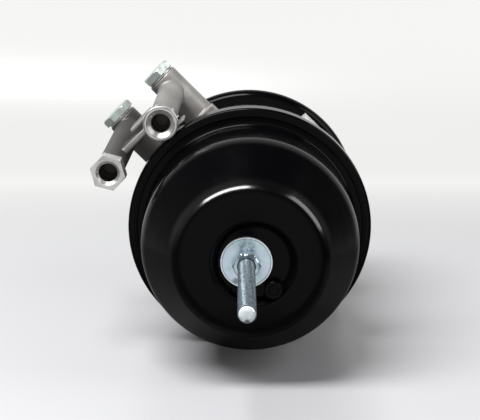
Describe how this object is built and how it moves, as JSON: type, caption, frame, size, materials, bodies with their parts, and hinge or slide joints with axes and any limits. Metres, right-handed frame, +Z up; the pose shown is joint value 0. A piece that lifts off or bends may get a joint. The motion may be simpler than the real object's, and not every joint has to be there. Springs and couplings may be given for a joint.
{
  "type": "spring brake cylinder",
  "caption": "Air brake cylinder with a spring chamber in a crimped black housing, a cast body with angled port arms, a clamped service chamber with mounting studs, and a release bolt.",
  "frame": {"origin": "centre of the mounting face, where the face plane crosses the cylinder's axis", "axes": "+Y along the axis out of the mounting face, the way the push rod moves; +Z up; the spring end with the release bolt points to -Y"},
  "size_m": [0.2144, 0.4172, 0.2171],
  "materials": {
    "black_paint": "gloss black coating on pressed steel",
    "cast_aluminium": "blasted die casting with machined port faces",
    "bright_zinc": "bright zinc plating with a bluish tint",
    "dull_zinc": "zinc plating",
    "bare_steel": "bare steel",
    "spring_steel": "black coated spring steel",
    "bush_bronze": "sintered bronze",
    "seal_aluminium": "soft aluminium sealing washer",
    "black_rubber": "matt black rubber"
  },
  "bodies": {
    "cylinder": {"spring_housing": "black_paint", "vent_plug": "black_paint", "release_washer": "bright_zinc", "power_spring": "spring_steel", "spring_diaphragm": "black_rubber", "transfer_return_spring": "spring_steel", "flange_case": "cast_aluminium", "tube_plug_a": "bright_zinc", "tube_plug_b": "bright_zinc", "plug_seal_a": "seal_aluminium", "plug_seal_b": "seal_aluminium", "rod_bush": "bush_bronze", "rod_seal_front": "black_rubber", "rod_seal_rear": "black_rubber", "clamp_ring": "black_paint", "clamp_bolt": "bright_zinc", "clamp_nut": "bright_zinc", "service_housing": "black_paint", "mounting_stud_left": "bright_zinc", "mounting_stud_right": "bright_zinc", "drain_plug": "black_rubber", "service_diaphragm": "black_rubber", "service_return_spring": "spring_steel", "rod_boot": "black_rubber"},
    "spring_piston": {"release_bolt": "bright_zinc", "bolt_socket": "bare_steel", "spring_plate": "bare_steel", "transfer_plate": "bare_steel", "transfer_rod": "bare_steel"},
    "push_rod": {"push_rod": "bare_steel", "push_plate": "bare_steel"},
    "release_nut": {"release_nut": "dull_zinc"}
  },
  "joints": [
    {"name": "spring_stroke", "type": "slide", "parent": "cylinder", "child": "spring_piston", "axis": [0, 1, 0], "range_m": [0, 0.057], "deforming": ["power_spring", "spring_diaphragm", "transfer_return_spring"]},
    {"name": "service_stroke", "type": "slide", "parent": "cylinder", "child": "push_rod", "axis": [0, 1, 0], "range_m": [0, 0.057], "deforming": ["service_diaphragm", "service_return_spring", "rod_boot"]},
    {"name": "release_nut_turn", "type": "hinge", "parent": "cylinder", "child": "release_nut", "pos_m": [-0.0029, -0.268, 0], "axis": [0, -1, 0], "range_deg": [0, 11726.2]}
  ],
  "couplings": [
    {"joint": "service_stroke", "follows": "spring_stroke", "ratio": 1},
    {"joint": "release_nut_turn", "follows": "spring_stroke", "rad_per_m": 3590.4}
  ]
}
